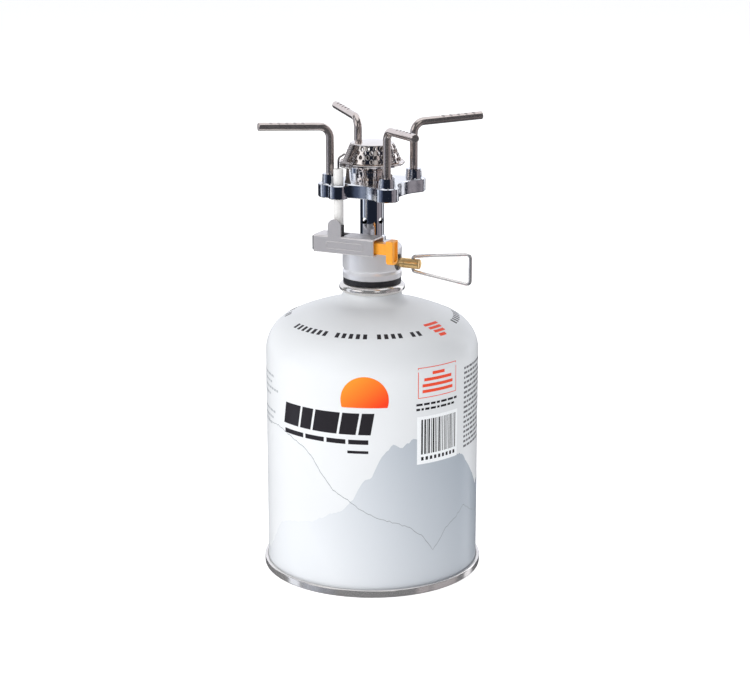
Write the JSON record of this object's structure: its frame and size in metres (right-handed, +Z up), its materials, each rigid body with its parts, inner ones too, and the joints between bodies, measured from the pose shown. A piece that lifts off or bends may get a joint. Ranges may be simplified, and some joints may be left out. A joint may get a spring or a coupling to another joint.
{
  "type": "canister stove",
  "caption": "Backpacking gas stove screwed onto a threaded fuel canister: folding wire pot supports, perforated cone burner, wire valve handle and a push-button piezo igniter.",
  "frame": {"origin": "centre of the canister's foot ring, on the ground", "axes": "+Z up along the burner's and canister's common axis, +X along the valve spindle towards its wire handle, -Y the side with the igniter"},
  "size_m": [0.11, 0.11, 0.2281],
  "materials": {
    "canister_paint": "gloss enamel over steel, printed with pale hills",
    "tinplate": "bare bright tinplate",
    "black_rubber": "smooth nitrile rubber",
    "black_plastic": "moulded, fine texture",
    "spring_steel": "bright spring steel",
    "body_aluminium": "bead-blasted and clear anodised",
    "sintered_bronze": "sintered, porous",
    "spindle_brass": "turned brass",
    "stainless_wire": "bright drawn wire",
    "chrome_plate": "polished chrome plate",
    "chrome_casting": "chrome plate over a slightly rough casting",
    "stainless_rod": "satin drawn stainless rod",
    "burner_steel": "pressed stainless sheet",
    "neck_steel": "turned bright stainless steel",
    "spark_steel": "finely perforated stainless sheet",
    "bracket_steel": "tumbled stainless sheet, fine grain",
    "orange_plastic": "semi-gloss moulded plastic",
    "white_ceramic": "unglazed alumina",
    "electrode_steel": "drawn steel wire, heat dulled"
  },
  "bodies": {
    "canister": {"canister_shell": "canister_paint", "canister_base": "tinplate", "valve_cup": "tinplate", "cup_gasket": "black_rubber", "canister_valve_housing": "black_plastic", "canister_valve_stem": "black_plastic", "canister_valve_spring": "spring_steel", "stem_gasket": "black_rubber"},
    "connector_lift": {"connector_gasket": "black_rubber"},
    "stove": {"valve_body": "body_aluminium", "nipple_seal": "black_rubber", "gas_filter": "sintered_bronze", "depressor_pin": "spindle_brass", "spindle_gland": "black_plastic", "jet": "spindle_brass", "mixing_tube": "chrome_plate", "support_plate": "chrome_casting", "detent_washers": "spring_steel", "burner_neck": "neck_steel", "burner_saucer": "burner_steel", "burner_cone": "burner_steel", "burner_cap": "burner_steel", "flame_baffle": "burner_steel", "spark_plate": "spark_steel", "igniter_bracket": "bracket_steel", "bracket_screws": "spring_steel", "piezo_housing": "black_plastic", "piezo_element": "white_ceramic", "anvil": "spring_steel", "piezo_hammer": "spring_steel", "return_spring": "spring_steel", "ceramic_insulator": "white_ceramic", "electrode_wire": "electrode_steel"},
    "spindle_feed": {"spindle_o_ring": "black_rubber"},
    "spindle": {"valve_spindle": "spindle_brass"},
    "wire": {"wire_handle": "stainless_wire"},
    "button": {"igniter_button": "orange_plastic"},
    "support_1": {"pot_support_1": "stainless_rod"},
    "support_2": {"pot_support_2": "stainless_rod"},
    "support_3": {"pot_support_3": "stainless_rod"},
    "support_4": {"pot_support_4": "stainless_rod"}
  },
  "joints": [
    {"name": "stove_lift", "type": "slide", "parent": "canister", "child": "connector_lift", "axis": [0, 0, 1], "range_m": [0, 0.00726]},
    {"name": "stove_unscrew", "type": "hinge", "parent": "connector_lift", "child": "stove", "pos_m": [0, 0, 0.15], "axis": [0, 0, 1], "range_deg": [0, 2880]},
    {"name": "spindle_travel", "type": "slide", "parent": "stove", "child": "spindle_feed", "axis": [1, 0, 0], "range_m": [0, 0.0016]},
    {"name": "spindle_turn", "type": "hinge", "parent": "spindle_feed", "child": "spindle", "pos_m": [0.015, 0, 0.1574], "axis": [1, 0, 0], "range_deg": [0, 720]},
    {"name": "wire_fold", "type": "hinge", "parent": "spindle", "child": "wire", "pos_m": [0.0223, 0, 0.1574], "axis": [0, 0, 1], "range_deg": [-62, 90]},
    {"name": "button_press", "type": "slide", "parent": "stove", "child": "button", "axis": [-1, 0, 0], "range_m": [0, 0.0056], "stiffness_N_per_m": 900, "springref_m": -0.004, "deforming": ["return_spring"]},
    {"name": "support_fold_1", "type": "hinge", "parent": "stove", "child": "support_1", "pos_m": [0.01527, 0.01527, 0.196], "axis": [0, 0, 1], "range_deg": [0, 115]},
    {"name": "support_fold_2", "type": "hinge", "parent": "stove", "child": "support_2", "pos_m": [-0.01527, 0.01527, 0.196], "axis": [0, 0, 1], "range_deg": [0, 115]},
    {"name": "support_fold_3", "type": "hinge", "parent": "stove", "child": "support_3", "pos_m": [-0.01527, -0.01527, 0.196], "axis": [0, 0, 1], "range_deg": [0, 115]},
    {"name": "support_fold_4", "type": "hinge", "parent": "stove", "child": "support_4", "pos_m": [0.01527, -0.01527, 0.196], "axis": [0, 0, 1], "range_deg": [0, 115]}
  ],
  "couplings": [
    {"joint": "stove_unscrew", "follows": "stove_lift", "rad_per_m": 6927.4},
    {"joint": "spindle_turn", "follows": "spindle_travel", "rad_per_m": 7854}
  ]
}
